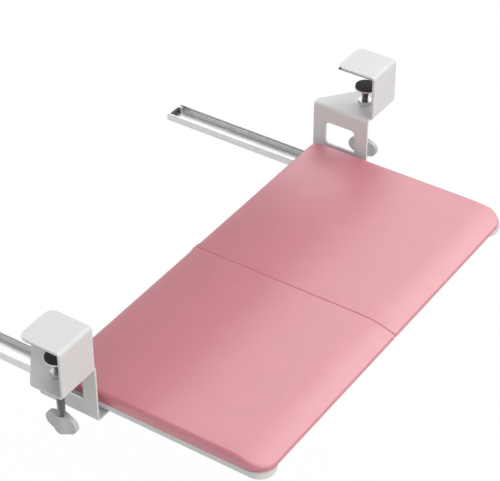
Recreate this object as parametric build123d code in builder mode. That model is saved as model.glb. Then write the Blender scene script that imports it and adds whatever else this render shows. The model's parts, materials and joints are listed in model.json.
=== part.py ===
"""Keyboard tray that clamps to the front edge of a desk and slides out on ball-bearing rails.

Millimetres, +Z up. The origin is on the top front edge of the desk, midway between the two
clamps: X runs along the desk edge, +Y runs back over the desk, Z is 0 on the desk's top
surface. The tray is drawn pulled out. Handed pieces are drawn on the +X side and mirrored.
"""
import os
from math import cos, radians, sin, tan

from build123d import *

os.makedirs("parts", exist_ok=True)

# Desk and clamp
desk_thickness = 30.6
clamp_pad_thickness = 2.0
clamp_pad_inset = 1.5
bracket_sheet = 3.0
bend_radius = 2.0
clamp_width = 58.6
clamp_reach = 56.0
clamp_corner_radius = 11.0
front_plate_height = 67.8

# Side plate that hangs from the clamp, and the ledge that carries the rail
tray_side_gap = 12.3
clamp_step = 6.9
side_plate_setback = 1.0
side_plate_depth = 86.0
flange_side_depth = 44.0
flange_tip_width = 8.0
flange_corner_radius = 8.0
window_leg = 19.5
window_top_drop = 22.7
window_bar_height = 24.9
window_corner_radius = 7.0
window_tight_radius = 1.5
ledge_margin = 2.0
ledge_corner_radius = 5.0

# Clamp screw and the nut welded on the flange
screw_y = 26.5
screw_radius = 5.0
screw_hole_clearance = 0.4
screw_fit = 0.05
screw_chamfer = 0.8
nut_flats = 17.0
nut_height = 6.0
nut_chamfer = 0.8

# Swivel foot
pin_radius = 3.5
pin_length = 5.0
pin_end_gap = 0.3
foot_pad_thickness = 2.0
foot_pad_inset = 0.5
foot_radius = 15.0
foot_plate_thickness = 2.5
foot_hub_radius = 7.5
foot_hub_height = 4.5
foot_blend = 1.0
foot_edge_chamfer = 0.5

# Wing knob
knob_top_drop = 120.0
knob_socket_depth = 16.0
knob_half_span = 22.3
knob_lobe_radius = 11.4
knob_height = 26.4
knob_nose_radius = 9.0
knob_wing_thickness = 7.2
knob_hub_wall = 1.8
knob_hub_flat = 4.0
knob_taper_length = 8.0
knob_taper_radius = 14.0
knob_edge_radius = 0.8

# Tray
tray_drop = 113.5
tray_width = 581.6
tray_depth = 300.0
tray_tucked_depth = 77.7
pad_thickness = 15.5
seam_gap = 0.6
leather_thickness = 1.2
foam_thickness = 2.5
soft_gap = 0.3
front_corner_radius = 28.0
rear_corner_radius = 12.0
roll_radius = 5.0
seam_roll_radius = 2.4
waterfall_length = 45.0
waterfall_arc_length = 25.0
waterfall_angle = 17.0

# White runner under each side of the tray
runner_width = 42.0
runner_height = 8.8
runner_wall = 1.8
runner_roof = 1.6
runner_corner_radius = 20.0
runner_edge_radius = 0.8
runner_rim_height = 2.8
runner_rim_step = 0.7

# Ball-bearing rail, lying flat between the ledge and the runner
rail_height = 12.0
rail_width = 35.0
rail_front_margin = 10.0
rail_setback = 14.0
rail_sheet = 1.4
rail_bend_radius = 1.0
rail_lip_drop = 0.9
rail_lip_reach = 2.2
inner_leg_clearance = 0.3
ball_radius = 2.0
ball_fit = 0.05
ball_count = 4
race_half_angle = 40.0
race_entry = 0.4
race_entry_radius = 0.8
stop_tab_width = 9.0
stop_tab_height = 4.2
stop_gap = 0.4
hook_tab_width = 8.0
hook_tab_clearance = 0.5

# Ball retainer and rail end bumper
retainer_sheet = 0.8
retainer_floor = 2.4
retainer_height = 6.4
retainer_bend_radius = 0.6
retainer_end_margin = 6.0
bumper_gap = 0.3
bumper_width = 22.0
bumper_height = 7.0
bumper_corner_radius = 1.5

# Rivets that hold the outer rail on the ledge
rivet_radius = 2.0
rivet_head_radius = 3.6
rivet_head_height = 0.7
rivet_tail_height = 1.6
rivet_tail_top_radius = 2.4
rivet_first = 10.0
rivet_pitch = 26.0
rivet_count = 3

# Screws that hold the inner rail, the runner and the tray board together
screw_shank_radius = 2.0
screw_head_radius = 4.0
screw_head_height = 2.2
screw_head_edge = 0.6
screw_bite = 8.0
screw_tip_gap = 0.5
screw_hole_fit = 0.05
rail_screw_margin = 40.0
rail_screw_count = 3

# Plates that join the two halves of the tray
joining_plate_length = 110.0
joining_plate_width = 44.0
joining_plate_thickness = 2.0
joining_plate_corner_radius = 6.0
joining_plate_margin = 70.0
joining_hole_margin = 14.0

# How far cuts run past the material, and how near an edge must lie to be chosen
overrun = 1.0
near = 0.01

# Heights
clamp_top = clamp_pad_thickness + bracket_sheet
flange_bottom = clamp_top - front_plate_height
flange_top = flange_bottom + bracket_sheet
nut_top = flange_top + nut_height
tray_top = -tray_drop
pad_bottom = tray_top - pad_thickness
runner_bottom = pad_bottom - runner_height
rail_top = pad_bottom - runner_roof
ledge_top = rail_top - rail_height
ledge_bottom = ledge_top - bracket_sheet
foot_top = -desk_thickness
foot_plate_top = foot_top - foot_pad_thickness
foot_plate_bottom = foot_plate_top - foot_plate_thickness
foot_bottom = foot_plate_bottom - foot_hub_height
knob_top = -knob_top_drop
knob_bottom = knob_top - knob_height

# Places along X
tray_half = tray_width / 2
side_plate_x = tray_half + tray_side_gap
side_plate_outer_x = side_plate_x + bracket_sheet
clamp_inner_x = side_plate_x + clamp_step
clamp_outer_x = clamp_inner_x + clamp_width
clamp_x = clamp_inner_x + clamp_width / 2
rail_x = tray_half - runner_width / 2
ledge_inner_x = rail_x - rail_width / 2 - ledge_margin

# Places along Y
tray_rear = tray_tucked_depth
tray_front = tray_rear - tray_depth
side_plate_rear = side_plate_setback + side_plate_depth
rail_length = tray_depth - rail_front_margin
rail_rear = rail_setback + rail_length
retainer_front = rail_setback + rail_sheet + stop_gap
retainer_rear = tray_rear - rail_sheet - stop_gap
closed_inner_rear = tray_rear - tray_front
rivet_places = [
    (rail_x, rail_setback + rivet_first + n * rivet_pitch) for n in range(rivet_count)
]
rail_screw_pitch = (tray_depth - 2 * rail_screw_margin) / (rail_screw_count - 1)
rail_screw_places = [
    (rail_x, tray_front + rail_screw_margin + n * rail_screw_pitch) for n in range(rail_screw_count)
]

# Race of the rail: both rails bulge round the ball, so their middle lines share these sizes
half_sheet = rail_sheet / 2
race_radius = ball_radius + ball_fit + half_sheet
ball_x = rail_width / 2 - rail_sheet - ball_fit - ball_radius
race_apex = race_radius / cos(radians(race_half_angle))
race_foot = race_radius * cos(radians(race_half_angle)) - race_entry * sin(radians(race_half_angle))
race_rise = (race_apex - race_foot) / tan(radians(race_half_angle))
rail_middle = rail_height / 2
rail_bend = rail_bend_radius + half_sheet


def write_piece(piece, name):
    """Label a finished piece and write it."""
    piece.label = name
    export_step(piece, f"parts/{name}.step")


def write_pair(builder, name):
    """Write a right-hand piece and its mirror image."""
    write_piece(mirror(builder.part, about=Plane.YZ), f"left_{name}")
    write_piece(builder.part, f"right_{name}")


def pad_form(inset):
    """One half of the tray's pad, drawn in from its outside on every side but the bottom."""
    inner_x = seam_gap / 2 + inset
    outer_x = tray_half - inset
    front = tray_front + inset
    rear = tray_rear - inset
    top = tray_top - inset
    with BuildPart() as form:
        with BuildSketch(Plane.XY.offset(pad_bottom)):
            with BuildLine():
                FilletPolyline(
                    (inner_x, front),
                    (outer_x, front),
                    (outer_x, rear),
                    (inner_x, rear),
                    radius=(0, front_corner_radius - inset, rear_corner_radius - inset, 0),
                    close=True,
                )
            make_face()
        extrude(amount=top - pad_bottom)
        # The front falls away in an arc and then a straight slope
        with BuildSketch(Plane.YZ.offset(inner_x - overrun)):
            with BuildLine():
                fall = JernArc(
                    start=(tray_front + waterfall_length, top),
                    tangent=(-1, 0),
                    radius=waterfall_arc_length / sin(radians(waterfall_angle)),
                    arc_size=waterfall_angle,
                )
                slope = PolarLine(
                    fall @ 1,
                    length=waterfall_length - waterfall_arc_length + overrun,
                    angle=180 + waterfall_angle,
                    length_mode=LengthMode.HORIZONTAL,
                )
                Polyline(
                    slope @ 1,
                    (tray_front - overrun, top + overrun),
                    (tray_front + waterfall_length, top + overrun),
                    fall @ 0,
                )
            make_face()
        extrude(amount=outer_x - inner_x + 2 * overrun, mode=Mode.SUBTRACT)
        # Rolled edges all round the top
        top_faces = faces().filter_by(lambda f: f.normal_at().Z > cos(radians(2 * waterfall_angle)))
        folds = top_faces.edges().filter_by(Axis.X).filter_by_position(
            Axis.Y, front + near, rear - near
        )
        seam_edges = top_faces.edges().filter_by_position(Axis.X, inner_x - near, inner_x + near)
        rim = [e for e in top_faces.edges() if e not in folds and e not in seam_edges]
        fillet(rim, roll_radius - inset)
        # A tighter roll down into the seam, from the front corner over the top to the rear
        if inset < seam_roll_radius:
            seam_side = edges().filter_by_position(Axis.X, inner_x - near, inner_x + near)
            fillet(seam_side.group_by(Axis.Z)[1:], seam_roll_radius - inset)
    return form.part


# Bracket: one sheet, folded from the clamp down to the ledge
tight_bend = bend_radius
wide_bend = bend_radius + bracket_sheet
with BuildPart() as bracket:
    # Clamp, drawn from the side: top plate, front plate and flange
    with BuildSketch(Plane.YZ.offset(clamp_inner_x)):
        with BuildLine():
            FilletPolyline(
                (clamp_reach, clamp_top),
                (-bracket_sheet, clamp_top),
                (-bracket_sheet, flange_bottom),
                (flange_side_depth, flange_bottom),
                (flange_side_depth, flange_top),
                (0, flange_top),
                (0, clamp_pad_thickness),
                (clamp_reach, clamp_pad_thickness),
                radius=(0, wide_bend, wide_bend, 0, 0, tight_bend, tight_bend, 0),
                close=True,
            )
        make_face()
    extrude(amount=clamp_width)
    rear_edges = edges().filter_by(Axis.Z).group_by(Axis.Y)[-1]
    fillet(rear_edges, clamp_corner_radius)

    # Flange, side plate and ledge, drawn from the front
    with BuildSketch(Plane.XZ.offset(-side_plate_rear)):
        with BuildLine():
            FilletPolyline(
                (clamp_outer_x, flange_top),
                (side_plate_x, flange_top),
                (side_plate_x, ledge_top),
                (ledge_inner_x, ledge_top),
                (ledge_inner_x, ledge_bottom),
                (side_plate_outer_x, ledge_bottom),
                (side_plate_outer_x, flange_bottom),
                (clamp_outer_x, flange_bottom),
                radius=(0, wide_bend, tight_bend, 0, 0, wide_bend, tight_bend, 0),
                close=True,
            )
        make_face()
    extrude(amount=side_plate_depth)

    # The flange tapers from the clamp's depth to the side plate's
    taper_x = side_plate_outer_x + flange_tip_width
    with BuildSketch(Plane.XY.offset(flange_bottom - overrun)):
        with BuildLine():
            Polyline(
                (clamp_outer_x + overrun, flange_side_depth),
                (clamp_outer_x, flange_side_depth),
                (taper_x, side_plate_rear),
                (taper_x, side_plate_rear + overrun),
                (clamp_outer_x + overrun, side_plate_rear + overrun),
                close=True,
            )
        make_face()
    extrude(amount=bracket_sheet + 2 * overrun, mode=Mode.SUBTRACT)
    flange_edges = edges().filter_by(Axis.Z).filter_by_position(Axis.Z, flange_bottom, flange_top)
    flange_corners = flange_edges.filter_by_position(Axis.X, taper_x - near, clamp_outer_x + near)
    fillet(flange_corners.filter_by_position(Axis.Y, flange_side_depth - near, side_plate_rear + near),
           flange_corner_radius)

    # Window in the side plate, square only at its bottom front corner
    window_front = side_plate_setback + window_leg
    window_rear = side_plate_rear - window_leg
    window_bottom = ledge_bottom + window_bar_height
    window_top = flange_bottom - window_top_drop
    with BuildSketch(Plane.YZ.offset(side_plate_x - overrun)):
        with BuildLine():
            FilletPolyline(
                (window_front, window_bottom),
                (window_rear, window_bottom),
                (window_rear, window_top),
                (window_front, window_top),
                radius=(
                    window_tight_radius,
                    window_corner_radius,
                    window_corner_radius,
                    window_corner_radius,
                ),
                close=True,
            )
        make_face()
    extrude(amount=bracket_sheet + 2 * overrun, mode=Mode.SUBTRACT)

    # Free corners of the ledge
    fillet(edges().filter_by(Axis.Z).group_by(Axis.X)[0], ledge_corner_radius)

    # Holes for the clamp screw and the rivets
    with Locations((clamp_x, screw_y, flange_top)):
        Hole(screw_radius + screw_hole_clearance, depth=bracket_sheet + overrun)
    with Locations([(x, y, ledge_top) for x, y in rivet_places]):
        Hole(rivet_radius, depth=bracket_sheet + overrun)

write_pair(bracket, "bracket")

# Rubber pad under the clamp's top plate
with BuildPart() as clamp_pad:
    with BuildSketch():
        with BuildLine():
            FilletPolyline(
                (clamp_inner_x + clamp_pad_inset, bend_radius),
                (clamp_outer_x - clamp_pad_inset, bend_radius),
                (clamp_outer_x - clamp_pad_inset, clamp_reach - clamp_pad_inset),
                (clamp_inner_x + clamp_pad_inset, clamp_reach - clamp_pad_inset),
                radius=(
                    0,
                    clamp_corner_radius - clamp_pad_inset,
                    clamp_corner_radius - clamp_pad_inset,
                    0,
                ),
                close=True,
            )
        make_face()
    extrude(amount=clamp_pad_thickness)

write_pair(clamp_pad, "clamp_pad")

# Nut welded on the flange
with BuildPart() as weld_nut:
    with BuildSketch(Plane.XY.offset(flange_top)):
        with Locations((clamp_x, screw_y)):
            RegularPolygon(nut_flats / 2, 6, major_radius=False)
            Circle(screw_radius + screw_fit, mode=Mode.SUBTRACT)
    extrude(amount=nut_height)

write_pair(weld_nut, "weld_nut")

# Clamp screw: a pin that turns in the foot, then the shank down into the knob
screw_bottom = knob_top - knob_socket_depth
screw_plane = Plane(origin=(clamp_x, screw_y, 0), x_dir=(1, 0, 0), z_dir=(0, -1, 0))
with BuildPart() as clamp_screw:
    with BuildSketch(screw_plane):
        with BuildLine():
            Polyline(
                (0, screw_bottom),
                (screw_radius, screw_bottom),
                (screw_radius, foot_bottom - screw_chamfer),
                (screw_radius - screw_chamfer, foot_bottom),
                (pin_radius, foot_bottom),
                (pin_radius, foot_bottom + pin_length),
                (0, foot_bottom + pin_length),
                close=True,
            )
        make_face()
    revolve(axis=Axis((clamp_x, screw_y, 0), (0, 0, 1)))

write_pair(clamp_screw, "clamp_screw")

# Foot: a turned plate and hub that swivels on the screw's pin
with BuildPart() as foot_cup:
    with BuildSketch(screw_plane):
        with BuildLine():
            Polyline(
                (0, foot_plate_top),
                (foot_radius, foot_plate_top),
                (foot_radius, foot_plate_bottom + foot_edge_chamfer),
                (foot_radius - foot_edge_chamfer, foot_plate_bottom),
                (foot_hub_radius + foot_blend, foot_plate_bottom),
                (foot_hub_radius, foot_plate_bottom - foot_blend),
                (foot_hub_radius, foot_bottom + foot_edge_chamfer),
                (foot_hub_radius - foot_edge_chamfer, foot_bottom),
                (pin_radius + screw_fit, foot_bottom),
                (pin_radius + screw_fit, foot_bottom + pin_length + pin_end_gap),
                (0, foot_bottom + pin_length + pin_end_gap),
                close=True,
            )
        make_face()
    revolve(axis=Axis((clamp_x, screw_y, 0), (0, 0, 1)))

write_pair(foot_cup, "foot_cup")

# Rubber disc on the foot
with BuildPart() as foot_pad:
    with BuildSketch(Plane.XY.offset(foot_plate_top)):
        with Locations((clamp_x, screw_y)):
            Circle(foot_radius - foot_pad_inset)
    extrude(amount=foot_pad_thickness)

write_pair(foot_pad, "foot_pad")

# Wing knob: two lobes and a nose, thick at the screw and thinner towards both lobes
lobe_y = knob_half_span - knob_lobe_radius
lobe_z = knob_top - knob_lobe_radius
nose_z = knob_bottom + knob_nose_radius
hub_half = screw_radius + knob_hub_wall
wing_half = knob_wing_thickness / 2
taper_y = knob_hub_flat + knob_taper_length
past_lobe_y = knob_half_span + overrun
with BuildPart() as wing_knob:
    with BuildSketch(Plane.YZ.offset(clamp_x - hub_half)):
        with Locations((screw_y - lobe_y, lobe_z), (screw_y + lobe_y, lobe_z)):
            Circle(knob_lobe_radius)
        with Locations((screw_y, nose_z)):
            Circle(knob_nose_radius)
        make_hull(mode=Mode.REPLACE)
    extrude(amount=2 * hub_half)
    with BuildSketch(Plane(origin=(clamp_x, screw_y, knob_bottom - overrun), z_dir=(0, 0, 1))):
        with BuildLine():
            FilletPolyline(
                (wing_half, -past_lobe_y),
                (wing_half, -taper_y),
                (hub_half, -knob_hub_flat),
                (hub_half, knob_hub_flat),
                (wing_half, taper_y),
                (wing_half, past_lobe_y),
                radius=knob_taper_radius,
            )
            mirror(about=Plane.YZ)
            Line((wing_half, -past_lobe_y), (-wing_half, -past_lobe_y))
            Line((wing_half, past_lobe_y), (-wing_half, past_lobe_y))
        make_face()
    extrude(amount=knob_height + 2 * overrun, mode=Mode.INTERSECT)
    inner_edges = edges().filter_by(Axis.X) + edges().filter_by(Axis.Z)
    fillet([e for e in edges() if e not in inner_edges], knob_edge_radius)
    with Locations((clamp_x, screw_y, knob_top)):
        Hole(screw_radius, depth=knob_socket_depth)

write_pair(wing_knob, "wing_knob")

# Tray: a board, a foam layer over it, and a leather cover over both
foam_inset = leather_thickness + soft_gap
board_inset = foam_inset + foam_thickness + soft_gap
cover_form = pad_form(0)
cover_hollow = pad_form(leather_thickness)
foam_form = pad_form(foam_inset)
foam_hollow = pad_form(foam_inset + foam_thickness)
board_form = pad_form(board_inset)

with BuildPart() as leather_cover:
    add(cover_form)
    add(cover_hollow, mode=Mode.SUBTRACT)

write_pair(leather_cover, "leather_cover")

with BuildPart() as foam_layer:
    add(foam_form)
    add(foam_hollow, mode=Mode.SUBTRACT)

write_pair(foam_layer, "foam_layer")

joining_y = (tray_front + joining_plate_margin, tray_rear - joining_plate_margin)
joining_x = joining_plate_length / 2 - joining_hole_margin
joining_dy = joining_plate_width / 2 - joining_hole_margin
joining_places = [
    (joining_x, y + side * joining_dy) for y in joining_y for side in (-1, 1)
]
board_hole = screw_shank_radius + screw_hole_fit
board_hole_depth = screw_bite + screw_tip_gap
with BuildPart() as tray_board:
    add(board_form)
    with BuildSketch(Plane.XY.offset(pad_bottom)):
        with Locations(rail_screw_places + joining_places):
            Circle(board_hole)
    extrude(amount=board_hole_depth, mode=Mode.SUBTRACT)

write_pair(tray_board, "tray_board")


def runner_outline(height, inset, past_rear):
    """The runner's outline at a height, drawn in on its sides and front and run past its rear."""
    with BuildSketch(Plane.XY.offset(height)) as outline:
        with BuildLine():
            FilletPolyline(
                (tray_half - runner_width + inset, tray_front + inset),
                (tray_half - inset, tray_front + inset),
                (tray_half - inset, tray_rear + past_rear),
                (tray_half - runner_width + inset, tray_rear + past_rear),
                radius=(runner_corner_radius - inset, runner_corner_radius - inset, 0, 0),
                close=True,
            )
        make_face()
    return outline.sketch


# Runner: a shallow channel with a rim, closed and rounded at the front, open below and behind
with BuildPart() as runner:
    body_outline = runner_outline(runner_bottom, runner_rim_step, 0)
    extrude(body_outline, amount=runner_height - runner_rim_height)
    fillet(faces().sort_by(Axis.Z)[0].edges(), runner_edge_radius)
    rim_outline = runner_outline(pad_bottom - runner_rim_height, 0, 0)
    extrude(rim_outline, amount=runner_rim_height)
    hollow_outline = runner_outline(runner_bottom - overrun, runner_wall, overrun)
    hollow_height = runner_height - runner_roof + overrun
    extrude(hollow_outline, amount=hollow_height, mode=Mode.SUBTRACT)
    with BuildSketch(Plane.XY.offset(rail_top - overrun)):
        with Locations(rail_screw_places):
            Circle(board_hole)
    extrude(amount=runner_roof + 2 * overrun, mode=Mode.SUBTRACT)

write_pair(runner, "runner")

# Outer rail: a rolled channel with a race along each side, riveted on the ledge
outer_plane = Plane(origin=(rail_x, rail_rear, ledge_top), x_dir=(1, 0, 0), z_dir=(0, -1, 0))
with BuildPart() as outer_rail:
    with BuildSketch(outer_plane):
        with BuildLine():
            flange_x = ball_x + race_foot
            lip_z = rail_height - rail_lip_drop - half_sheet
            FilletPolyline(
                (0, half_sheet),
                (flange_x, half_sheet),
                (flange_x, rail_middle - race_rise),
                (ball_x + race_apex, rail_middle),
                (flange_x, rail_middle + race_rise),
                (flange_x, lip_z),
                (flange_x - rail_lip_reach, lip_z),
                radius=(rail_bend, race_entry_radius, race_radius, race_entry_radius, rail_bend),
            )
            mirror(about=Plane.YZ)
        trace(line_width=rail_sheet)
    extrude(amount=rail_length)
    # Stop tab at the front, which the retainer meets when the tray is fully out
    with BuildSketch(Plane(origin=(rail_x, rail_setback, ledge_top), z_dir=(0, 0, 1))):
        Rectangle(stop_tab_width, rail_sheet, align=(Align.CENTER, Align.MIN))
    extrude(amount=rail_sheet + stop_tab_height)
    with Locations([(x, y, ledge_top + rail_sheet) for x, y in rivet_places]):
        Hole(rivet_radius, depth=rail_sheet + overrun)

write_pair(outer_rail, "outer_rail")

# Inner rail: a narrower channel the other way up, screwed under the tray
inner_plane = Plane(origin=(rail_x, tray_rear, ledge_top), x_dir=(1, 0, 0), z_dir=(0, -1, 0))
with BuildPart() as inner_rail:
    with BuildSketch(inner_plane):
        with BuildLine():
            leg_x = ball_x - race_foot
            leg_end = retainer_floor + retainer_sheet + inner_leg_clearance
            FilletPolyline(
                (0, rail_height - half_sheet),
                (leg_x, rail_height - half_sheet),
                (leg_x, rail_middle + race_rise),
                (ball_x - race_apex, rail_middle),
                (leg_x, rail_middle - race_rise),
                (leg_x, leg_end),
                radius=(rail_bend, race_entry_radius, race_radius, race_entry_radius),
            )
            mirror(about=Plane.YZ)
        trace(line_width=rail_sheet)
    extrude(amount=rail_length)
    # Hook at the rear, which meets the retainer's other end
    with BuildSketch(Plane(origin=(rail_x, tray_rear, rail_top), z_dir=(0, 0, 1))):
        Rectangle(hook_tab_width, rail_sheet, align=(Align.CENTER, Align.MAX))
    extrude(amount=-(rail_height - rail_sheet - rivet_head_height - hook_tab_clearance))
    with Locations([(x, y, rail_top) for x, y in rail_screw_places]):
        Hole(board_hole, depth=rail_sheet + overrun)

write_pair(inner_rail, "inner_rail")

# Ball retainer: a strip with pockets along both sides, which runs at half the tray's speed
retainer_length = retainer_rear - retainer_front
ball_pitch = (retainer_length - 2 * retainer_end_margin) / (ball_count - 1)
ball_places = [
    retainer_front + retainer_end_margin + n * ball_pitch for n in range(ball_count)
]
ball_z = ledge_top + rail_middle
retainer_plane = Plane(origin=(rail_x, retainer_rear, ledge_top), x_dir=(1, 0, 0), z_dir=(0, -1, 0))
with BuildPart() as ball_retainer:
    with BuildSketch(retainer_plane):
        with BuildLine():
            floor_z = retainer_floor + retainer_sheet / 2
            FilletPolyline(
                (0, floor_z),
                (ball_x, floor_z),
                (ball_x, retainer_floor + retainer_height),
                radius=retainer_bend_radius + retainer_sheet / 2,
            )
            mirror(about=Plane.YZ)
        trace(line_width=retainer_sheet)
    extrude(amount=retainer_length)
    with BuildSketch(Plane.YZ.offset(rail_x - rail_width / 2)):
        with Locations([(y, ball_z) for y in ball_places]):
            Circle(ball_radius + ball_fit)
    extrude(amount=rail_width, mode=Mode.SUBTRACT)

write_pair(ball_retainer, "ball_retainer")

with BuildPart() as rail_balls:
    with Locations(
        [(rail_x + side * ball_x, y, ball_z) for y in ball_places for side in (-1, 1)]
    ):
        Sphere(ball_radius)

write_pair(rail_balls, "rail_balls")

# Bumper that stops the inner rail when the tray is pushed home
bumper_length = rail_rear - closed_inner_rear - bumper_gap
with BuildPart() as rail_bumper:
    with BuildSketch(Plane(origin=(rail_x, rail_rear, ledge_top + rail_sheet), z_dir=(0, 0, 1))):
        Rectangle(bumper_width, bumper_length, align=(Align.CENTER, Align.MAX))
    extrude(amount=bumper_height)
    fillet(edges().filter_by(Axis.Y).group_by(Axis.Z)[-1], bumper_corner_radius)

write_pair(rail_bumper, "rail_bumper")

# Rivets from the outer rail through the ledge
with BuildPart() as rail_rivets:
    for x, y in rivet_places:
        with BuildSketch(Plane(origin=(x, y, 0), x_dir=(1, 0, 0), z_dir=(0, -1, 0))):
            with BuildLine():
                rivet_top = ledge_top + rail_sheet + rivet_head_height
                rivet_bottom = ledge_bottom - rivet_tail_height
                Polyline(
                    (0, rivet_top),
                    (rivet_head_radius, rivet_top),
                    (rivet_head_radius, ledge_top + rail_sheet),
                    (rivet_radius, ledge_top + rail_sheet),
                    (rivet_radius, ledge_bottom),
                    (rivet_head_radius, ledge_bottom),
                    (rivet_tail_top_radius, rivet_bottom),
                    (0, rivet_bottom),
                    close=True,
                )
            make_face()
        revolve(axis=Axis((x, y, 0), (0, 0, 1)))

write_pair(rail_rivets, "rail_rivets")


def pan_screws(places, seat):
    """Pan-head screws driven up through a plate whose lower face is at the seat height."""
    with BuildPart() as screws:
        for x, y in places:
            with BuildSketch(Plane(origin=(x, y, seat), x_dir=(1, 0, 0), z_dir=(0, -1, 0))):
                with BuildLine():
                    Polyline(
                        (0, -screw_head_height),
                        (screw_head_radius - screw_head_edge, -screw_head_height),
                        (screw_head_radius, screw_head_edge - screw_head_height),
                        (screw_head_radius, 0),
                        (screw_shank_radius, 0),
                        (screw_shank_radius, pad_bottom - seat + screw_bite),
                        (0, pad_bottom - seat + screw_bite),
                        close=True,
                    )
                make_face()
            revolve(axis=Axis((x, y, 0), (0, 0, 1)))
    return screws


write_pair(pan_screws(rail_screw_places, rail_top - rail_sheet), "rail_screws")

# Steel plates across the seam, under the two boards
for end, y in zip(("front", "rear"), joining_y):
    with BuildPart() as joining_plate:
        with BuildSketch(Plane.XY.offset(pad_bottom)):
            with Locations((0, y)):
                RectangleRounded(
                    joining_plate_length, joining_plate_width, joining_plate_corner_radius
                )
                with GridLocations(2 * joining_x, 2 * joining_dy, 2, 2):
                    Circle(board_hole, mode=Mode.SUBTRACT)
        extrude(amount=-joining_plate_thickness)
    write_piece(joining_plate.part, f"{end}_joining_plate")

both_sides = [(side * x, y) for x, y in joining_places for side in (-1, 1)]
joining_screws = pan_screws(both_sides, pad_bottom - joining_plate_thickness)
write_piece(joining_screws.part, "joining_screws")
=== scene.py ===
"""Looks for the keyboard tray: camera, light, materials, leather, foam and screw threads.

Metres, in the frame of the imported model: X along the tray's front, +Y to its rear, +Z up.
"""
import json
import math

import bpy
from mathutils import Matrix, Vector


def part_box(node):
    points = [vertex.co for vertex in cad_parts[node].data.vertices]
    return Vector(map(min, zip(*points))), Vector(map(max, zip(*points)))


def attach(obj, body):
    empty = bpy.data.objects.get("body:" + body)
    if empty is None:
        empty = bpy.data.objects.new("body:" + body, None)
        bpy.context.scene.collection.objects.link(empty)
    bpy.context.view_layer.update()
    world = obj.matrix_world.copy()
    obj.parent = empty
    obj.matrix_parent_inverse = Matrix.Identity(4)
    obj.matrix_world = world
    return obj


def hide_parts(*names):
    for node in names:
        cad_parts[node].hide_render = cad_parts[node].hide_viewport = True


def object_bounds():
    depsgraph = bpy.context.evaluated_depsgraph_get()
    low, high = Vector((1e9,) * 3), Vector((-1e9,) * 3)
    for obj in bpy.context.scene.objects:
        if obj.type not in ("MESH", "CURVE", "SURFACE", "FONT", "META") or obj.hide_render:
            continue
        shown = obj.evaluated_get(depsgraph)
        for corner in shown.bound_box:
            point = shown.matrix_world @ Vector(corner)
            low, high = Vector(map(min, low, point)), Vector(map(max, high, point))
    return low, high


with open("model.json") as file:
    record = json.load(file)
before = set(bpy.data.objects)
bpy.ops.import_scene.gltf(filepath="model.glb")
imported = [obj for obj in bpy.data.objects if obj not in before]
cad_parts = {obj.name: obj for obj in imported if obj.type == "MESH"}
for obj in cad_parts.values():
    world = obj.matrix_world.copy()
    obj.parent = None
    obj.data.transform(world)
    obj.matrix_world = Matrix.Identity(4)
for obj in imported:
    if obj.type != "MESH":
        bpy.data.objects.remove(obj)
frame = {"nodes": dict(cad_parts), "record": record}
cad_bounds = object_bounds()

MM = 0.001

# Camera, worked out from the photograph's perspective
camera_azimuth = -56.23
camera_elevation = 37.36
camera_roll = -0.08
camera_distance = 2.33336
camera_target = Vector((48.92, 24.20, -113.5)) * MM
camera_lens = 129.75
sensor_width = 36.0

# Pad: the sizes that its solids have too
outer_front_radius = 28.0 * MM
outer_rear_radius = 12.0 * MM
rim_roll = 5.0 * MM
fall_length = 45.0 * MM
fall_arc_length = 25.0 * MM
fall_angle = math.radians(17.0)
fall_radius = fall_arc_length / math.sin(fall_angle)
foam_thickness = 2.5 * MM

# Pad: what the stretched leather adds, and the foam fitted under it
seam_corner_radius = 3.0 * MM
front_roll = 2.2 * MM
front_roll_depth = 14.0 * MM
front_roll_blend = 26.0 * MM
seam_roll = 1.25 * MM
seam_press = 0.25 * MM
roll_blend = 12.0 * MM
smallest_roll = 0.3 * MM
roll_lost_to_inset = 0.9
fall_ease = 6.0 * MM
leather_thickness = 1.1 * MM
foam_inset = 1.5 * MM
crown_height = 0.4 * MM
crown_reach = 20.0 * MM
fold_radius = 0.6 * MM
front_fold_radius = 2.4 * MM
hem_depth = 12.0 * MM
hem_drop = 0.4 * MM
hem_start = 1.5 * MM

# How finely the pad is meshed
arc_steps = 7
straight_steps = 46
roll_steps = 8
fold_steps = 4
ring_steps = 6
ring_width = 34.0 * MM

# Thread of the clamp screw
thread_pitch = 1.5 * MM
thread_root_radius = 4.1 * MM
thread_crest_radius = 4.95 * MM
thread_turn_steps = 24
thread_rows = ((0.0, thread_root_radius), (0.25, thread_root_radius),
               (0.56, thread_crest_radius), (0.69, thread_crest_radius))
screw_pin_radius = 3.5 * MM
screw_pin_length = 5.0 * MM

# Light and ground
light_aim = (0, -0.1, -0.1)
room_grey = 0.40
floor_grey = 0.48
floor_glow = 1.02
floor_glow_share = 0.96
floor_drop = 0.30
floor_half = 6.0
card_half = 300 * MM
card_depth = 200 * MM
card_glow = 0.70


def smooth(t):
    """A number from 0 to 1 that leaves both ends level."""
    t = min(max(t, 0.0), 1.0)
    return t * t * (3 - 2 * t)


def piece_from(name, points, faces, material, body):
    """A mesh object with smooth faces that rides on a body."""
    mesh = bpy.data.meshes.new(name)
    mesh.from_pydata([tuple(p) for p in points], [], faces)
    mesh.validate()
    mesh.shade_smooth()
    mesh.materials.append(material)
    piece = bpy.data.objects.new(name, mesh)
    bpy.context.scene.collection.objects.link(piece)
    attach(piece, body)
    return piece


# Materials

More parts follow.
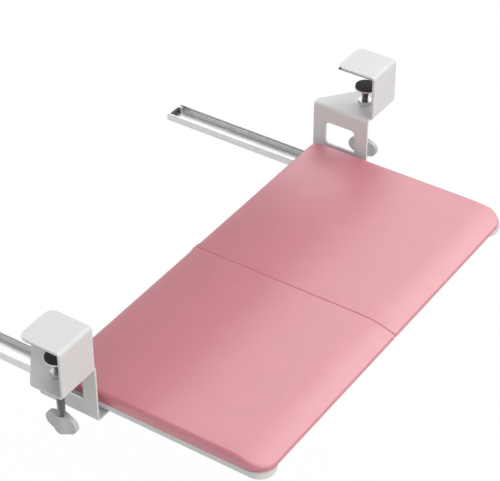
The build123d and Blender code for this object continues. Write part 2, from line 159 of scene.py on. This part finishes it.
class Look:
    """A material with its shader, and the nodes that give it its surface."""

    def __init__(self, name, colour, roughness, metallic=0.0, **sockets):
        self.material = bpy.data.materials.new(name)
        self.material.use_nodes = True
        self.nodes = self.material.node_tree.nodes
        self.links = self.material.node_tree.links
        self.shader = self.nodes["Principled BSDF"]
        self.shader.inputs["Base Color"].default_value = (*colour, 1)
        self.shader.inputs["Roughness"].default_value = roughness
        self.shader.inputs["Metallic"].default_value = metallic
        for socket, value in sockets.items():
            self.shader.inputs[socket.replace("_", " ")].default_value = value
        self.colour = colour
        self.roughness = roughness
        self.height = None

    def place(self, stretch=(1, 1, 1)):
        """Object coordinates in metres, stretched along the axes."""
        coordinates = self.nodes.new("ShaderNodeTexCoord")
        mapping = self.nodes.new("ShaderNodeMapping")
        mapping.inputs["Scale"].default_value = stretch
        self.links.new(coordinates.outputs["Object"], mapping.inputs["Vector"])
        return mapping.outputs["Vector"]

    def noise(self, size, detail=3.0, stretch=(1, 1, 1)):
        """Noise whose grains are about this size in metres."""
        node = self.nodes.new("ShaderNodeTexNoise")
        node.inputs["Scale"].default_value = 1 / size
        node.inputs["Detail"].default_value = detail
        self.links.new(self.place(stretch), node.inputs["Vector"])
        return node.outputs["Fac"]

    def cells(self, size, feature="DISTANCE_TO_EDGE"):
        """Cells about this size in metres."""
        node = self.nodes.new("ShaderNodeTexVoronoi")
        node.feature = feature
        node.inputs["Scale"].default_value = 1 / size
        self.links.new(self.place(), node.inputs["Vector"])
        return node.outputs["Distance"]

    def ramp(self, value, low, high, start=0.3, end=0.7):
        """A value turned into a colour or a grey between two others."""
        node = self.nodes.new("ShaderNodeValToRGB")
        node.color_ramp.elements[0].position = start
        node.color_ramp.elements[1].position = end
        node.color_ramp.elements[0].color = (*low, 1)
        node.color_ramp.elements[1].color = (*high, 1)
        self.links.new(value, node.inputs["Fac"])
        return node.outputs["Color"]

    def mottle(self, value, spread, start=0.3, end=0.7):
        """Colour that drifts a little darker and lighter."""
        low = [c * (1 - spread) for c in self.colour]
        high = [min(c * (1 + spread), 1) for c in self.colour]
        colour = self.ramp(value, low, high, start, end)
        self.links.new(colour, self.shader.inputs["Base Color"])

    def scuff(self, value, spread, start=0.3, end=0.7):
        """Roughness that drifts by this much either way."""
        low = [self.roughness - spread] * 3
        high = [self.roughness + spread] * 3
        grey = self.ramp(value, low, high, start, end)
        self.links.new(grey, self.shader.inputs["Roughness"])

    def soften(self, radius):
        """Edges that catch the light as if they were rounded."""
        node = self.nodes.new("ShaderNodeBevel")
        node.samples = 6
        node.inputs["Radius"].default_value = radius
        self.height = node.outputs["Normal"]
        self.links.new(self.height, self.shader.inputs["Normal"])

    def bump(self, value, depth, strength=1.0):
        """Relief of this depth in metres, over whatever is there."""
        node = self.nodes.new("ShaderNodeBump")
        node.inputs["Strength"].default_value = strength
        node.inputs["Distance"].default_value = depth
        self.links.new(value, node.inputs["Height"])
        if self.height is not None:
            self.links.new(self.height, node.inputs["Normal"])
        self.height = node.outputs["Normal"]
        self.links.new(self.height, self.shader.inputs["Normal"])


def powder_coat():
    look = Look("white_powder_coat", (0.69, 0.69, 0.68), 0.42,
                Coat_Weight=0.15, Coat_Roughness=0.25)
    look.soften(0.6 * MM)
    look.bump(look.noise(1.6 * MM, 2.0), 0.02 * MM, 0.5)
    look.bump(look.noise(0.35 * MM, 2.0), 0.006 * MM, 0.6)
    look.mottle(look.noise(40 * MM, 4.0), 0.02)
    look.scuff(look.noise(6 * MM, 4.0), 0.04)
    return look.material


def moulded_white():
    look = Look("moulded_white", (0.72, 0.72, 0.71), 0.46)
    look.soften(0.3 * MM)
    look.bump(look.noise(0.4 * MM, 3.0), 0.015 * MM, 0.5)
    look.mottle(look.noise(25 * MM, 3.0), 0.02)
    look.scuff(look.noise(3 * MM, 4.0), 0.05)
    return look.material


def coated_leather():
    look = Look("coated_leather", (0.56, 0.155, 0.196), 0.42, Specular_IOR_Level=0.5,
                Coat_Weight=1.0, Coat_IOR=1.66, Coat_Roughness=0.40,
                Sheen_Weight=0.05, Sheen_Roughness=0.4)
    look.bump(look.noise(18 * MM, 2.0), 0.10 * MM, 0.35)
    look.bump(look.cells(0.85 * MM), 0.02 * MM, 0.3)
    look.bump(look.noise(0.2 * MM, 2.0), 0.004 * MM, 0.4)
    look.mottle(look.noise(30 * MM, 5.0), 0.025)
    look.scuff(look.noise(4 * MM, 4.0), 0.05)
    return look.material


def black_rubber():
    look = Look("black_rubber", (0.022, 0.022, 0.022), 0.78)
    look.soften(0.3 * MM)
    look.bump(look.noise(0.5 * MM, 4.0), 0.03 * MM, 0.6)
    look.mottle(look.noise(5 * MM, 4.0), 0.25)
    look.scuff(look.noise(2 * MM, 3.0), 0.08)
    return look.material


def rolled_zinc():
    look = Look("rolled_zinc", (0.62, 0.62, 0.62), 0.37, 1.0)
    look.soften(0.25 * MM)
    look.bump(look.noise(3.0 * MM, 2.0, (1, 0.03, 1)), 0.006 * MM, 0.5)
    look.mottle(look.noise(9 * MM, 5.0), 0.06)
    look.scuff(look.noise(3.0 * MM, 4.0, (1, 0.05, 1)), 0.07)
    return look.material


def dark_steel():
    look = Look("dark_steel", (0.30, 0.295, 0.29), 0.20, 1.0)
    look.bump(look.noise(0.4 * MM, 3.0), 0.004 * MM, 0.4)
    look.mottle(look.noise(3 * MM, 5.0), 0.10)
    look.scuff(look.noise(1.2 * MM, 4.0), 0.05)
    return look.material


def plated_screw():
    look = Look("plated_screw", (0.58, 0.58, 0.57), 0.30, 1.0)
    look.soften(0.3 * MM)
    look.bump(look.noise(0.3 * MM, 3.0), 0.01 * MM, 0.5)
    look.mottle(look.noise(2 * MM, 4.0), 0.08)
    look.scuff(look.noise(1 * MM, 4.0), 0.07)
    return look.material


def greased_strip():
    look = Look("greased_strip", (0.55, 0.53, 0.48), 0.36, 1.0)
    look.soften(0.2 * MM)
    look.bump(look.noise(2.4 * MM, 2.0, (1, 0.06, 1)), 0.006 * MM, 0.5)
    look.mottle(look.noise(5 * MM, 4.0), 0.10)
    look.scuff(look.noise(2.5 * MM, 5.0), 0.14)
    return look.material


def polished_balls():
    look = Look("polished_balls", (0.75, 0.75, 0.76), 0.10, 1.0)
    look.mottle(look.noise(1 * MM, 3.0), 0.04)
    look.scuff(look.noise(0.5 * MM, 4.0), 0.05)
    return look.material


def set_aluminium():
    look = Look("set_aluminium", (0.70, 0.70, 0.70), 0.38, 1.0)
    look.soften(0.3 * MM)
    look.bump(look.noise(0.5 * MM, 3.0), 0.02 * MM, 0.5)
    look.mottle(look.noise(1.5 * MM, 4.0), 0.07)
    look.scuff(look.noise(0.8 * MM, 4.0), 0.08)
    return look.material


def grained_grey():
    look = Look("grained_grey", (0.54, 0.54, 0.535), 0.46)
    look.soften(0.4 * MM)
    look.bump(look.cells(0.3 * MM, "F1"), 0.02 * MM, 0.5)
    look.mottle(look.noise(8 * MM, 4.0), 0.04)
    look.scuff(look.noise(2 * MM, 4.0), 0.06)
    return look.material


def moulded_black():
    look = Look("moulded_black", (0.03, 0.03, 0.03), 0.5)
    look.soften(0.3 * MM)
    look.bump(look.noise(0.4 * MM, 3.0), 0.015 * MM, 0.5)
    look.mottle(look.noise(4 * MM, 3.0), 0.15)
    look.scuff(look.noise(1.5 * MM, 3.0), 0.06)
    return look.material


def sheet_foam():
    look = Look("sheet_foam", (0.75, 0.73, 0.68), 0.9)
    look.bump(look.cells(0.6 * MM), 0.15 * MM, 0.8)
    look.mottle(look.noise(3 * MM, 4.0), 0.08)
    return look.material


def bare_fibreboard():
    look = Look("bare_fibreboard", (0.46, 0.33, 0.20), 0.85)
    look.bump(look.noise(0.5 * MM, 4.0), 0.06 * MM, 0.6)
    look.mottle(look.noise(1.2 * MM, 6.0, (1, 0.6, 1)), 0.22, 0.35, 0.65)
    look.scuff(look.noise(8 * MM, 3.0), 0.05)
    return look.material


materials = {
    "white_steel": powder_coat(),
    "white_plastic": moulded_white(),
    "black_rubber": black_rubber(),
    "zinc_steel": rolled_zinc(),
    "dark_steel": dark_steel(),
    "screw_steel": plated_screw(),
    "retainer_steel": greased_strip(),
    "ball_steel": polished_balls(),
    "rivet_aluminium": set_aluminium(),
    "grey_plastic": grained_grey(),
    "black_plastic": moulded_black(),
    "pink_leather": coated_leather(),
    "foam": sheet_foam(),
    "fibreboard": bare_fibreboard(),
}

for part in frame["record"]["subparts"]:
    node = frame["nodes"][part["node"]]
    node.data.materials.clear()
    node.data.materials.append(materials[part["material_slot"]])


# Pad: the leather cover and the foam under it

def half_outline(low, high, inset):
    """The plan outline of one half as (place, way out) pairs, from the seam's front corner on."""
    corners = (
        (low.x, low.y, seam_corner_radius, 225),
        (high.x, low.y, outer_front_radius, 315),
        (high.x, high.y, outer_rear_radius, 45),
        (low.x, high.y, seam_corner_radius, 135),
    )
    rounds = []
    for x, y, radius, middle in corners:
        way = Vector((math.cos(math.radians(middle)), math.sin(math.radians(middle))))
        centre = Vector((x, y)) - way * radius * math.sqrt(2)
        rounds.append((centre, radius - inset, math.radians(middle)))
    outline = []
    for n in range(4):
        centre, radius, middle = rounds[n]
        far_centre, far_radius, _ = rounds[(n + 1) % 4]
        turn = math.radians(45)
        for step in range(arc_steps):
            angle = middle + turn * step / arc_steps
            way = Vector((math.cos(angle), math.sin(angle)))
            outline.append((centre + way * radius, way))
        way = Vector((math.cos(middle + turn), math.sin(middle + turn)))
        near, far = centre + way * radius, far_centre + way * far_radius
        for step in range(straight_steps):
            outline.append((near.lerp(far, step / straight_steps), way))
        for step in range(arc_steps):
            angle = middle + turn + turn * step / arc_steps
            way = Vector((math.cos(angle), math.sin(angle)))
            outline.append((far_centre + way * far_radius, way))
    return outline


def fall(y, front):
    """How far the top has fallen at this depth, eased over a short way."""
    steps = [front_fall(front + fall_length - y + n * fall_ease) for n in (-2, -1, 0, 1, 2)]
    return sum(steps) / len(steps)


def front_fall(along):
    """How far the top has fallen this far along, in an arc and then a slope."""
    if along <= 0:
        return 0.0
    if along <= fall_arc_length:
        return fall_radius - math.sqrt(fall_radius ** 2 - along ** 2)
    drop = fall_radius * (1 - math.cos(fall_angle))
    return drop + (along - fall_arc_length) * math.tan(fall_angle)


def pad_half(name, node, inset, thickness, hemmed, slot):
    """One half of the pad as a shell, drawn in from the cover's outside by the inset."""
    low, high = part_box("right_leather_cover")
    # The covers press against each other at the seam
    low.x -= seam_press
    outline = half_outline(low, high, inset)
    count = len(outline)
    side_steps = 2 * arc_steps + straight_steps

    def top(place):
        edge = min(place.x - low.x, high.x - place.x, place.y - low.y, high.y - place.y) - inset
        crown = crown_height * smooth(edge / crown_reach)
        return high.z - inset + crown - fall(place.y, low.y)

    def to_front(place):
        """A number that is 1 along the front and eases to 0 past the front corners."""
        return 1 - smooth((place.y - low.y - front_roll_depth) / front_roll_blend)

    def roll_at(place):
        """How far the edge rolls here: tight at the seam and the front, wider round the rest."""
        outer = rim_roll + (front_roll - rim_roll) * to_front(place)
        away = smooth((place.x - low.x - inset) / roll_blend)
        roll = seam_roll + (outer - seam_roll) * away
        return max(roll - inset * roll_lost_to_inset, smallest_roll)

    points = []
    rows = []

    def add_row(row):
        rows.append(list(range(len(points), len(points) + len(row))))
        points.extend(row)

    if hemmed:
        for depth in (hem_depth, hem_start + front_fold_radius):
            add_row([(*(p - way * depth), low.z - hem_drop) for p, way in outline])
        for step in range(fold_steps + 1):
            angle = math.pi / 2 * step / fold_steps
            row = []
            for p, way in outline:
                fold = fold_radius + (front_fold_radius - fold_radius) * to_front(p)
                place = p - way * fold * (1 - math.sin(angle))
                row.append((*place, low.z + fold * (1 - math.cos(angle))))
            add_row(row)
    else:
        add_row([(*p, low.z) for p, way in outline])
    for step in range(roll_steps + 1):
        angle = math.pi / 2 * step / roll_steps
        row = []
        for p, way in outline:
            roll = roll_at(p)
            place = p - way * roll * (1 - math.cos(angle))
            row.append((*place, top(place) - roll * (1 - math.sin(angle))))
        add_row(row)

    # The flat core is a grid whose rim has one point for each point of the outline
    core_low = Vector((low.x + ring_width, low.y + ring_width))
    core_high = Vector((high.x - ring_width, high.y - ring_width))

    def share(axis, steps):
        """How far along a side each of the outline's points is, from 0 to 1."""
        first, last = steps[0], steps[-1]
        return [(s[axis] - first[axis]) / (last[axis] - first[axis]) for s in steps]

    along_x = share(0, [outline[n][0] for n in range(side_steps + 1)])
    along_y = share(1, [outline[side_steps + n][0] for n in range(side_steps + 1)])
    core = {}
    for i, u in enumerate(along_x):
        for j, v in enumerate(along_y):
            core[i, j] = Vector((
                core_low.x + (core_high.x - core_low.x) * u,
                core_low.y + (core_high.y - core_low.y) * v,
            ))
    last = side_steps
    rim = (
        [(n, 0) for n in range(last)]
        + [(last, n) for n in range(last)]
        + [(last - n, last) for n in range(last)]
        + [(0, last - n) for n in range(last)]
    )
    for step in range(1, ring_steps):
        row = []
        for (p, way), spot in zip(outline, rim):
            start = p - way * roll_at(p)
            place = start.lerp(core[spot], step / ring_steps)
            row.append((*place, top(place)))
        add_row(row)
    grid = {}
    for spot, place in core.items():
        grid[spot] = len(points)
        points.append((*place, top(place)))
    rows.append([grid[spot] for spot in rim])

    faces = []
    for lower, upper in zip(rows, rows[1:]):
        for n in range(count):
            m = (n + 1) % count
            faces.append((lower[n], lower[m], upper[m], upper[n]))
    for i in range(last):
        for j in range(last):
            faces.append((grid[i, j], grid[i + 1, j], grid[i + 1, j + 1], grid[i, j + 1]))

    if node.startswith("left"):
        points = [(-x, y, z) for x, y, z in points]
        faces = [face[::-1] for face in faces]
    piece = piece_from(name, points, faces, materials[slot], "tray")
    shell = piece.modifiers.new("thickness", "SOLIDIFY")
    shell.thickness = thickness
    shell.offset = -1
    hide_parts(node)


for side in ("left", "right"):
    pad_half(f"{side}_leather", f"{side}_leather_cover", 0.0, leather_thickness, True,
             "pink_leather")
    pad_half(f"{side}_foam", f"{side}_foam_layer", foam_inset, foam_thickness, False, "foam")


# Clamp screws with their threads

def threaded_screw(side):
    """A screw whose rows of points climb by one pitch in each turn."""
    node = f"{side}_clamp_screw"
    low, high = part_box(node)
    centre = (low + high) / 2
    shoulder = high.z - screw_pin_length
    turns = math.ceil((shoulder - low.z) / thread_pitch) + 1
    rows = [(turn + share, radius) for turn in range(-1, turns) for share, radius in thread_rows]
    points = []
    for climb, radius in rows:
        for step in range(thread_turn_steps):
            part = step / thread_turn_steps
            height = low.z + (climb + part) * thread_pitch
            held = min(max(height, low.z), shoulder)
            squeeze = min(held - low.z, shoulder - held) / thread_pitch
            fade = thread_root_radius + (thread_crest_radius - thread_root_radius) * squeeze
            spread = min(radius, fade)
            angle = math.tau * part
            points.append((
                centre.x + spread * math.cos(angle),
                centre.y + spread * math.sin(angle),
                held,
            ))
    per_turn = len(thread_rows)
    faces = []
    for row in range(len(rows) - per_turn - 1):
        for step in range(thread_turn_steps):
            near = row * thread_turn_steps + step
            if step < thread_turn_steps - 1:
                far = near + 1
            else:
                far = (row + per_turn) * thread_turn_steps
            faces.append((near, far, far + thread_turn_steps, near + thread_turn_steps))
    # The core: a flat end in the knob, and the pin that turns in the foot
    profile = (
        (0.0, low.z),
        (thread_root_radius, low.z),
        (thread_root_radius, shoulder),
        (screw_pin_radius, shoulder),
        (screw_pin_radius, high.z),
        (0.0, high.z),
    )
    start = len(points)
    for radius, height in profile:
        for step in range(thread_turn_steps):
            angle = math.tau * step / thread_turn_steps
            points.append((
                centre.x + radius * math.cos(angle),
                centre.y + radius * math.sin(angle),
                height,
            ))
    for ring in range(len(profile) - 1):
        for step in range(thread_turn_steps):
            near = start + ring * thread_turn_steps + step
            far = start + ring * thread_turn_steps + (step + 1) % thread_turn_steps
            faces.append((near, far, far + thread_turn_steps, near + thread_turn_steps))
    piece = piece_from(f"{side}_threaded_screw", points, faces, materials["dark_steel"],
                       f"{side}_screw")
    piece.data.shade_flat()
    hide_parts(node)


for side in ("left", "right"):
    threaded_screw(side)


# Camera

azimuth = math.radians(camera_azimuth)
elevation = math.radians(camera_elevation)
back = Vector((
    math.sin(azimuth) * math.cos(elevation),
    -math.cos(azimuth) * math.cos(elevation),
    math.sin(elevation),
))
right = Vector((math.cos(azimuth), math.sin(azimuth), 0))
up = back.cross(right)
camera_data = bpy.data.cameras.new("camera")
camera_data.lens = camera_lens
camera_data.sensor_width = sensor_width
camera = bpy.data.objects.new("camera", camera_data)
bpy.context.scene.collection.objects.link(camera)
turn = Matrix((right, up, back)).transposed().to_4x4()
roll = Matrix.Rotation(math.radians(camera_roll), 4, "Z")
camera.matrix_world = Matrix.Translation(camera_target + back * camera_distance) @ turn @ roll
bpy.context.scene.camera = camera


# Light: a wide soft box in front, two on the right from above, a small one on the left, and a pale
# room that shows as white

def background_share(nodes, links):
    """1 for the rays that show the background, reflections in metal among them, else 0."""
    path = nodes.new("ShaderNodeLightPath")
    share = path.outputs["Is Camera Ray"]
    for ray in ("Is Glossy Ray", "Is Transmission Ray"):
        larger = nodes.new("ShaderNodeMath")
        larger.operation = "MAXIMUM"
        links.new(share, larger.inputs[0])
        links.new(path.outputs[ray], larger.inputs[1])
        share = larger.outputs[0]
    return share


def soft_box(name, place, size, power):
    """A square area lamp, unseen by the camera, turned to the tray."""
    data = bpy.data.lights.new(name, "AREA")
    data.size = size
    data.energy = power
    light = bpy.data.objects.new(name, data)
    light.location = place
    light.rotation_euler = (Vector(light_aim) - Vector(place)).to_track_quat("-Z", "Y").to_euler()
    light.visible_camera = False
    bpy.context.scene.collection.objects.link(light)


soft_box("front_box", (-1.8, -8.0, 2.9), 11.0, 560)
soft_box("key_box", (4.1, -1.8, 4.3), 3.4, 128)
soft_box("side_box", (3.9, 2.0, 4.6), 5.8, 132)
soft_box("fill_box", (-3.2, -0.6, 1.2), 2.5, 12)

world = bpy.data.worlds.new("room")
bpy.context.scene.world = world
world.use_nodes = True
nodes, links = world.node_tree.nodes, world.node_tree.links
room = nodes["Background"]
room.inputs["Color"].default_value = (room_grey, room_grey, room_grey, 1)
backdrop = nodes.new("ShaderNodeBackground")
backdrop.inputs["Color"].default_value = (1, 1, 1, 1)
mix = nodes.new("ShaderNodeMixShader")
links.new(background_share(nodes, links), mix.inputs["Fac"])
links.new(room.outputs[0], mix.inputs[1])
links.new(backdrop.outputs[0], mix.inputs[2])
links.new(mix.outputs[0], nodes["World Output"].inputs["Surface"])

# Floor: plain and pale, well below the tray, and clear from underneath
floor_mesh = bpy.data.meshes.new("floor")
floor_mesh.from_pydata(
    [(x * floor_half, y * floor_half, 0) for x, y in ((-1, -1), (1, -1), (1, 1), (-1, 1))],
    [],
    [(0, 1, 2, 3)],
)
floor = bpy.data.objects.new("floor", floor_mesh)
floor.location.z = cad_bounds[0].z - floor_drop
bpy.context.scene.collection.objects.link(floor)
paint = Look("floor_paint", (floor_grey, floor_grey, floor_grey), 0.9)
glow = paint.nodes.new("ShaderNodeEmission")
glow.inputs["Color"].default_value = (1, 1, 1, 1)
glow.inputs["Strength"].default_value = floor_glow
clear = paint.nodes.new("ShaderNodeBsdfTransparent")
geometry = paint.nodes.new("ShaderNodeNewGeometry")
share = paint.nodes.new("ShaderNodeMath")
share.operation = "MULTIPLY"
share.inputs[1].default_value = floor_glow_share
lit = paint.nodes.new("ShaderNodeMixShader")
sided = paint.nodes.new("ShaderNodeMixShader")
paint.links.new(background_share(paint.nodes, paint.links), share.inputs[0])
paint.links.new(share.outputs[0], lit.inputs["Fac"])
paint.links.new(paint.shader.outputs[0], lit.inputs[1])
paint.links.new(glow.outputs[0], lit.inputs[2])
paint.links.new(geometry.outputs["Backfacing"], sided.inputs["Fac"])
paint.links.new(lit.outputs[0], sided.inputs[1])
paint.links.new(clear.outputs[0], sided.inputs[2])
paint.links.new(sided.outputs[0], paint.nodes["Material Output"].inputs["Surface"])
floor_mesh.materials.append(paint.material)

# Card over the rear of the tray: it keeps the lamps off it and gives off a softer light of its own.
# The camera doesn't see it.
card_mesh = bpy.data.meshes.new("light_card")
card_mesh.from_pydata(
    [(x * card_half, y * card_depth, 0) for x, y in ((-1, 0), (1, 0), (1, 1), (-1, 1))],
    [],
    [(0, 1, 2, 3)],
)
card = bpy.data.objects.new("light_card", card_mesh)
card.visible_camera = False
bpy.context.scene.collection.objects.link(card)
card_paint = Look("card_paint", (0, 0, 0), 0.8,
                  Emission_Color=(1, 1, 1, 1), Emission_Strength=card_glow)
card_mesh.materials.append(card_paint.material)

bpy.context.scene.view_settings.view_transform = "Standard"
